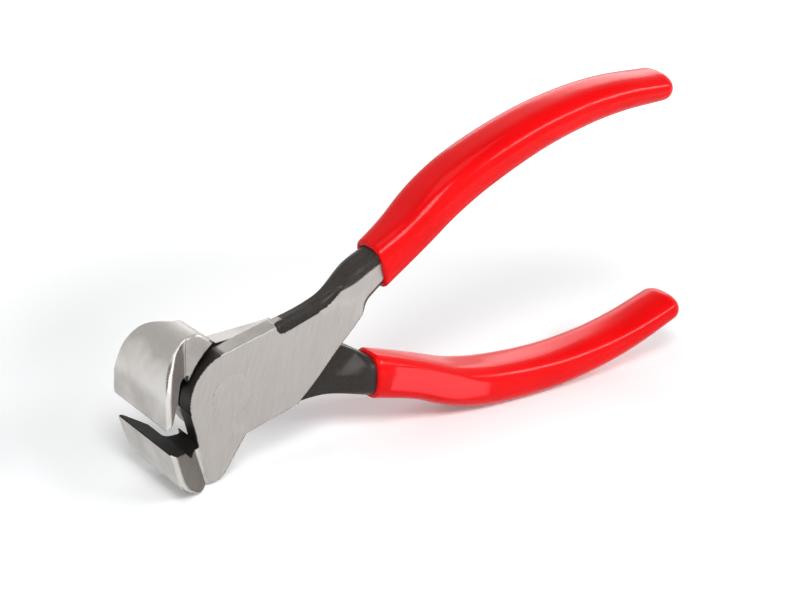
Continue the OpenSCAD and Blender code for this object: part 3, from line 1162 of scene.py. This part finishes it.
@dataclass(frozen=True)
class RivetSteel:
    """Steel of the rivet, ground with the plates."""

    bright: Colour = BRIGHT
    dark: Colour = BRIGHT_DARK

    def material(self) -> Material:
        """Builds the material.

        Returns:
            The material.
        """
        paint = Paint("rivet steel", Metallic=0.85)
        lines = paint.weighed(paint.noise(6.0, (1, 1, 0.03), 4, GRAIN_TILT), paint.noise(0.4))
        colour = paint.blend(paint.remap(lines, 0.36, 0.64), self.dark, self.bright)
        rough = paint.remap(lines, 0.3, 0.7, 0.36, 0.5)
        return paint.finish(Base_Color=colour, Roughness=rough, Normal=paint.bump(lines, 0.02))


@dataclass(frozen=True)
class DippedPlastic:
    """Glossy red plastic, dipped, with a faint orange peel and a painted reflection that lightens
    the pressed flat.
    """

    deep: Colour = (0.72, 0.002, 0.0035)
    full: Colour = (0.79, 0.0035, 0.005)
    # Lighter red for the pressed flat: a painted reflection.
    panel: Colour = (0.84, 0.045, 0.05)

    def material(self) -> Material:
        """Builds the material.

        Returns:
            The material.
        """
        paint = Paint("dipped plastic", IOR=1.36, Specular_IOR_Level=0.2)
        panel = paint.add("ShaderNodeAttribute", attribute_name="tone").outputs["Fac"]
        cloud, peel, dust = paint.noise(0.05), paint.noise(0.35, detail=2), paint.noise(3.0)
        colour = paint.blend(paint.remap(cloud, 0.35, 0.65), self.deep, self.full)
        # The pressed flat is lightened with a painted reflection.
        colour = paint.blend(panel, colour, self.panel)
        rough = paint.remap(dust, 0.3, 0.7, 0.14, 0.2)
        relief = paint.bump(dust, 0.004, paint.bump(peel, 0.03))
        return paint.finish(Base_Color=colour, Roughness=rough, Normal=relief)


def outward(corners: Array, faces: Array) -> Array:
    """Faces turned so that they all look out of the solid.

    Args:
        corners: the solid's corners in the frame.
        faces: its faces, all wound the same way.

    Returns:
        The faces, turned round if the solid was inside out.
    """
    a, b, c, d = (corners[faces[:, k]] for k in range(4))
    volume = (a * np.cross(b, c)).sum() + (a * np.cross(c, d)).sum()
    return faces if volume > 0 else faces[:, ::-1]


def placed(name: str, data: bpy.types.ID) -> bpy.types.Object:
    """Puts a mesh, a lamp or a camera in the scene.

    Args:
        name: the object's name.
        data: the mesh, the lamp or the camera.

    Returns:
        The object.
    """
    thing = bpy.data.objects.new(name, data)
    bpy.context.scene.collection.objects.link(thing)
    return thing


def piece(
    node: str, sheet: Sheet, stance: Stance, lever: Lever, finish: Material
) -> None:
    """Makes a piece from a sheet and puts it in its lever's place.

    Args:
        node: the CAD node that it stands for.
        sheet: its corners and faces.
        stance: where the levers stand.
        lever: the lever that it rides on.
        finish: its material.
    """
    name = f"{node}_dressed"
    corners = stance.place(sheet.corners, lever)
    mesh = bpy.data.meshes.new(name)
    faces = [tuple(dict.fromkeys(f)) for f in outward(corners, sheet.faces).tolist()]
    mesh.from_pydata(corners.tolist(), [], faces)
    mesh.update()
    mesh.shade_smooth()
    if sheet.tone is not None:
        layer = mesh.attributes.new("tone", "FLOAT", "POINT")
        layer.data.foreach_set("value", sheet.tone.astype(np.float32))
    if sheet.normals is not None:
        mesh.normals_split_custom_set_from_vertices(stance.turned(sheet.normals, lever).tolist())
    thing = placed(name, mesh)
    mesh.materials.append(finish)
    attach(thing, lever.value)
    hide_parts(node)
    log.info("%s: %d corners, %d faces, on body %s", name, len(corners), len(faces), lever.value)


@dataclass(frozen=True)
class Lamp:
    """One soft lamp."""

    name: str
    place: Triple
    target: Triple
    size: Pair
    watts: float

    def build(self) -> None:
        """Hangs the lamp and points it."""
        light = bpy.data.lights.new(self.name, "AREA")
        light.shape = "RECTANGLE"
        light.size, light.size_y = self.size
        light.energy = self.watts
        thing = placed(self.name, light)
        thing.location = self.place
        way = Vector(self.target) - Vector(self.place)
        thing.rotation_euler = way.to_track_quat("-Z", "Y").to_euler()


@dataclass(frozen=True)
class Studio:
    """Floor, background, lamps and camera."""

    pivot: Triple
    azimuth: float = 36.19
    elevation: float = 26.04
    roll: float = 4.235
    distance: float = 600.0
    shift: Pair = (-47.62, -23.54)
    lens: float = 100.83
    sensor: float = 36.0
    clip: Pair = (0.01, 100.0)
    floor_size: float = 8.0
    floor_colour: Colour = (0.85, 0.86, 0.868)
    floor_lift: tuple[float, ...] = (0.12, 0.36, 0.17, 0.8)
    world_level: float = 0.36
    overhead: float = 0.3
    fade_angles: Pair = (35.0, 60.0)

    def floor(self) -> None:
        """Lays a plain pale floor that keeps the object's shadow."""
        half = self.floor_size / 2
        mesh = bpy.data.meshes.new("floor")
        mesh.from_pydata(
            [(-half, -half, 0), (half, -half, 0), (half, half, 0), (-half, half, 0)],
            [],
            [(0, 1, 2, 3)],
        )
        thing = placed("floor", mesh)
        paint = Paint("floor", Base_Color=self.floor_colour, Roughness=0.9, Specular_IOR_Level=0.1)
        path = paint.add("ShaderNodeLightPath").outputs
        seen = paint.math("ADD", path["Is Camera Ray"], path["Is Glossy Ray"])
        mottle = paint.remap(paint.noise(0.02), 0.3, 0.7, 0.98, 1.0)
        away = paint.add("ShaderNodeVectorMath", {0: paint.place}, operation="LENGTH")
        far = paint.remap(away.outputs["Value"], *self.floor_lift)
        lift = paint.math("MULTIPLY", paint.math("MULTIPLY", seen, far), mottle)
        mesh.materials.append(paint.finish(Emission_Color=(1, 1, 1), Emission_Strength=lift))

    def world(self) -> None:
        """Background, white well above the horizon and grey overhead, for metal too."""
        world = bpy.data.worlds.new("studio")
        world.use_nodes = True
        nodes, links = world.node_tree.nodes, world.node_tree.links
        nodes.clear()
        kinds = "OutputWorld Background TexCoord SeparateXYZ MapRange LightPath Math Math MapRange"
        out, sky, place, apart, fade, path, seen, seen_all, level = (
            nodes.new(f"ShaderNode{kind}") for kind in kinds.split()
        )
        fade.interpolation_type = "SMOOTHSTEP"
        low, high = (math.sin(math.radians(angle)) for angle in self.fade_angles)
        for port, value in enumerate((low, high, 1, self.overhead), start=1):
            fade.inputs[port].default_value = value
        level.inputs["To Min"].default_value = self.world_level
        for source, target in (
            (place.outputs["Generated"], apart.inputs[0]),
            (apart.outputs["Z"], fade.inputs["Value"]),
            (fade.outputs["Result"], sky.inputs["Color"]),
            (path.outputs["Is Camera Ray"], seen.inputs[0]),
            (path.outputs["Is Glossy Ray"], seen.inputs[1]),
            (seen.outputs[0], seen_all.inputs[0]),
            (path.outputs["Is Transmission Ray"], seen_all.inputs[1]),
            (seen_all.outputs[0], level.inputs["Value"]),
            (level.outputs["Result"], sky.inputs["Strength"]),
            (sky.outputs[0], out.inputs["Surface"]),
        ):
            links.new(source, target)
        bpy.context.scene.world = world

    def camera(self) -> None:
        """Sets the camera at the photograph's viewing angle."""
        az, el = math.radians(self.azimuth), math.radians(self.elevation)
        back = Vector((-math.sin(az) * math.cos(el), -math.cos(az) * math.cos(el), math.sin(el)))
        right = Vector((math.cos(az), -math.sin(az), 0))
        up = Vector((math.sin(el) * math.sin(az), math.sin(el) * math.cos(az), math.cos(el)))
        turn = Matrix.Rotation(-math.radians(self.roll), 3, "Y")
        place = back * self.distance - right * self.shift[0] - up * self.shift[1]
        basis = Matrix([turn @ right, turn @ up, turn @ back]).transposed().to_4x4()
        data = bpy.data.cameras.new("camera")
        data.sensor_fit, data.sensor_width, data.lens = "HORIZONTAL", self.sensor, self.lens
        data.clip_start, data.clip_end = self.clip
        thing = placed("camera", data)
        thing.matrix_world = Matrix.Translation(Vector(self.pivot) + (turn @ place) * MM) @ basis
        bpy.context.scene.camera = thing

    def build(self) -> None:
        """Sets up the whole studio."""
        self.floor()
        self.world()
        self.camera()
        lamps = (
            Lamp("key", (-0.32, -0.42, 0.62), (0.02, 0, 0.02), (0.26, 0.26), 3.6),
            Lamp("top", (-0.16, 0.16, 0.78), (0.03, 0, 0), (0.4, 0.4), 0.8),
            Lamp("streak", (0.42, -0.50, 0.44), (0, 0, 0.05), (0.5, 0.1), 2.8),
            Lamp("rim", (0.46, 0.62, 0.38), (0, 0, 0.05), (0.6, 0.3), 1.4),
        )
        for lamp in lamps:
            lamp.build()
        bpy.context.scene.view_settings.view_transform = "Standard"


@dataclass(frozen=True)
class Nippers:
    """The whole tool."""

    stance: Stance
    line: HandleLine

    def build(self) -> None:
        """Builds each piece, with its finish, on its lever."""
        steel, plastic = ForgedSteel().material(), DippedPlastic().material()
        rear = Forging(
            self.line,
            jaw_height=20.9,
            neck_round=0.8,
            back_length=4.2,
            ground_root=-11.4,
            jaw_end=(89.0, 4.0),
            waist=(-1.9, -13.8),
            ground_widths=Curve(
                (0, 14.3, 30, 45.8, 59.4, 69.6, 80.3, 89),
                (13.7, 12.75, 12.45, 12.0, 11.2, 9.9, 7.3, 4.9),
            ),
        )
        lower = Grip(self.line, mouth=(47.6, -0.05))
        for node, lever, shape, finish, slot in (
            ("front_lever", Lever.FRONT, Forging(self.line), steel, Slot.GROUND_STEEL),
            ("rear_lever", Lever.REAR, rear, steel, Slot.GROUND_STEEL),
            ("upper_grip", Lever.FRONT, Grip(self.line), plastic, Slot.GRIP_PLASTIC),
            ("lower_grip", Lever.REAR, lower, plastic, Slot.GRIP_PLASTIC),
            ("rivet", Lever.FRONT, Rivet(), RivetSteel().material(), Slot.RIVET_STEEL),
        ):
            piece(node, shape.build(), self.stance, lever, finish)


def main() -> None:
    logging.basicConfig(level=logging.INFO, format="%(name)s: %(message)s", stream=sys.stdout)
    pivot = tuple(frame["joints"][0]["pos_m"])
    Studio(pivot).build()
    Nippers(Stance(pivot), HandleLine()).build()
    bpy.context.view_layer.update()


if __name__ == "__main__":
    main()
